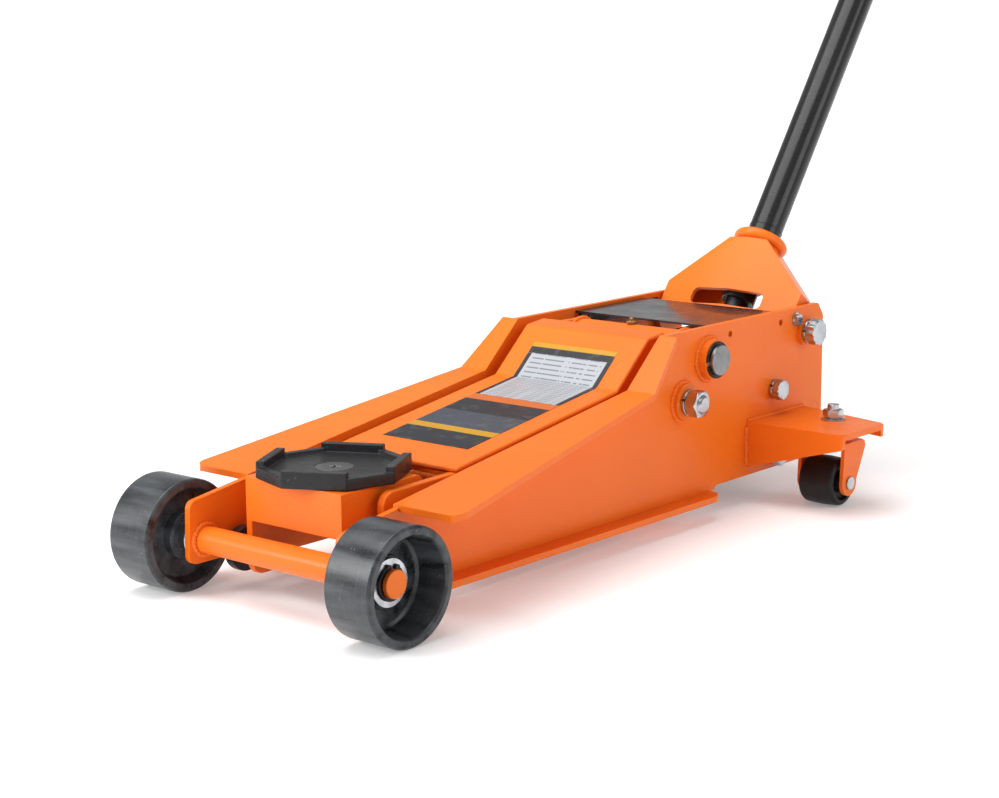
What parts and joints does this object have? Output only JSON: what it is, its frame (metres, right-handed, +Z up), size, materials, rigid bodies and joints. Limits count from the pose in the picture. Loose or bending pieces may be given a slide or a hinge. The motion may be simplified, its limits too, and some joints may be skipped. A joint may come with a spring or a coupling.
{
  "type": "hydraulic floor jack",
  "caption": "Hydraulic trolley floor jack with a lifting arm and saddle between folded side plates, front rollers, swivel casters and a long pump handle.",
  "frame": {"origin": "centre of the overall box's bottom face, on the floor under the jack", "axes": "+Z up from the floor, +Y from the front rollers back towards the handle, +X towards the right side seen from behind the handle"},
  "size_m": [0.411, 1.4144, 1.1116],
  "materials": {
    "orange_paint": "glossy enamel over sheet steel",
    "black_paint": "glossy black enamel",
    "black_oxide": "blackened spring steel",
    "zinc_plate": "bright zinc plating",
    "black_casting": "black painted casting",
    "bare_steel": "ground steel",
    "brass": "satin",
    "grip_rubber": "matte ribbed rubber",
    "wheel_plastic": "satin black nylon",
    "label_film": "printed film"
  },
  "bodies": {
    "chassis": {"left_side_plate": "orange_paint", "right_side_plate": "orange_paint", "frame_cross_members": "orange_paint", "front_axle": "orange_paint", "lift_arm_shaft": "bare_steel", "snap_rings": "black_oxide", "roller_washers": "zinc_plate", "rod_studs": "zinc_plate", "rod_nuts": "zinc_plate", "spring_washers": "zinc_plate", "pump_block": "black_casting", "gland_nut": "bare_steel", "return_springs": "bare_steel", "pump_bolts": "zinc_plate", "reservoir": "black_casting", "plunger_spring": "bare_steel", "pump_cover": "black_paint", "cover_screws": "zinc_plate", "handle_pivot_bolts": "zinc_plate", "left_caster_bracket": "orange_paint", "right_caster_bracket": "orange_paint", "caster_kingpins": "zinc_plate", "caster_nuts": "zinc_plate", "caster_bearings": "zinc_plate"},
    "front_roller_left": {"left_front_roller": "black_paint"},
    "front_roller_right": {"right_front_roller": "black_paint"},
    "lift_arm": {"left_arm_cheek": "orange_paint", "right_arm_cheek": "orange_paint", "arm_cover": "orange_paint", "arm_cross_web": "orange_paint", "arm_hub": "orange_paint", "arm_bushes": "brass", "grease_nipple": "brass", "arm_label": "label_film"},
    "crank_roller": {"crank_roller": "bare_steel"},
    "yoke": {"yoke": "orange_paint", "yoke_pins": "black_oxide", "yoke_pin_rings": "black_oxide", "yoke_spacers": "zinc_plate"},
    "saddle": {"saddle": "black_casting", "saddle_screw": "bare_steel"},
    "radius_rods": {"left_radius_rod": "black_paint", "right_radius_rod": "black_paint"},
    "ram": {"ram": "bare_steel", "ram_head": "bare_steel"},
    "handle_socket": {"handle_socket": "orange_paint", "socket_sleeve": "orange_paint"},
    "pusher_roller": {"pusher_roller": "bare_steel"},
    "handle": {"handle_lower_tube": "black_paint", "handle_upper_tube": "black_paint", "handle_grip": "grip_rubber", "handle_drive": "black_oxide"},
    "plunger": {"pump_plunger": "bare_steel"},
    "release_valve": {"release_valve": "black_oxide"},
    "caster_left": {"left_caster_fork": "orange_paint", "left_caster_axle": "zinc_plate"},
    "caster_right": {"right_caster_fork": "orange_paint", "right_caster_axle": "zinc_plate"},
    "caster_wheel_left": {"left_caster_wheel": "wheel_plastic"},
    "caster_wheel_right": {"right_caster_wheel": "wheel_plastic"}
  },
  "joints": [
    {"name": "front_roller_left_spin", "type": "hinge", "parent": "chassis", "child": "front_roller_left", "pos_m": [-0.13, -0.65724, 0.05], "axis": [1, 0, 0], "continuous": true},
    {"name": "front_roller_right_spin", "type": "hinge", "parent": "chassis", "child": "front_roller_right", "pos_m": [0.13, -0.65724, 0.05], "axis": [1, 0, 0], "continuous": true},
    {"name": "lift_arm_pivot", "type": "hinge", "parent": "chassis", "child": "lift_arm", "pos_m": [0, -0.16323, 0.1584], "axis": [-1, 0, 0], "range_deg": [0, 56]},
    {"name": "crank_roller_spin", "type": "hinge", "parent": "lift_arm", "child": "crank_roller", "pos_m": [0, -0.12802, 0.09218], "axis": [1, 0, 0], "continuous": true},
    {"name": "yoke_pivot", "type": "hinge", "parent": "lift_arm", "child": "yoke", "pos_m": [0, -0.57724, 0.072], "axis": [-1, 0, 0], "range_deg": [-56, 0]},
    {"name": "saddle_spin", "type": "hinge", "parent": "yoke", "child": "saddle", "pos_m": [0, -0.58554, 0.1069], "axis": [0, 0, 1], "continuous": true},
    {"name": "radius_rod_pivot", "type": "hinge", "parent": "chassis", "child": "radius_rods", "pos_m": [0, -0.20524, 0.1224], "axis": [-1, 0, 0], "range_deg": [0, 56]},
    {"name": "ram_slide", "type": "slide", "parent": "chassis", "child": "ram", "axis": [0, -1, 0], "range_m": [0, 0.0705], "deforming": ["return_springs"]},
    {"name": "handle_socket_tilt", "type": "hinge", "parent": "chassis", "child": "handle_socket", "pos_m": [0, 0.01077, 0.164], "axis": [1, 0, 0], "range_deg": [-36, 31]},
    {"name": "handle_twist", "type": "hinge", "parent": "handle_socket", "child": "handle", "pos_m": [0, 0.01077, 0.164], "axis": [0, 0.5878, 0.809], "range_deg": [0, 180]},
    {"name": "pusher_roller_spin", "type": "hinge", "parent": "handle_socket", "child": "pusher_roller", "pos_m": [-0.035, 0.01077, 0.137], "axis": [1, 0, 0], "continuous": true},
    {"name": "plunger_slide", "type": "slide", "parent": "chassis", "child": "plunger", "axis": [0, 1, 0], "range_m": [-0.016, 0.0138], "deforming": ["plunger_spring"]},
    {"name": "release_valve_turn", "type": "hinge", "parent": "chassis", "child": "release_valve", "pos_m": [0, 0.01077, 0.164], "axis": [0, 0.5878, 0.809], "range_deg": [0, 180]},
    {"name": "caster_left_swivel", "type": "hinge", "parent": "chassis", "child": "caster_left", "pos_m": [-0.1555, -0.03223, 0.07], "axis": [0, 0, 1], "continuous": true},
    {"name": "caster_wheel_left_spin", "type": "hinge", "parent": "caster_left", "child": "caster_wheel_left", "pos_m": [-0.1555, -0.04224, 0.025], "axis": [1, 0, 0], "continuous": true},
    {"name": "caster_right_swivel", "type": "hinge", "parent": "chassis", "child": "caster_right", "pos_m": [0.1555, -0.03223, 0.07], "axis": [0, 0, 1], "continuous": true},
    {"name": "caster_wheel_right_spin", "type": "hinge", "parent": "caster_right", "child": "caster_wheel_right", "pos_m": [0.1555, -0.04224, 0.025], "axis": [1, 0, 0], "continuous": true}
  ],
  "couplings": [
    {"joint": "yoke_pivot", "follows": "lift_arm_pivot", "ratio": -1},
    {"joint": "radius_rod_pivot", "follows": "lift_arm_pivot", "ratio": 1},
    {"joint": "ram_slide", "follows": "lift_arm_pivot", "m_per_rad": 0.07205},
    {"joint": "plunger_slide", "follows": "handle_socket_tilt", "m_per_rad": 0.02526},
    {"joint": "release_valve_turn", "follows": "handle_twist", "ratio": 1}
  ]
}
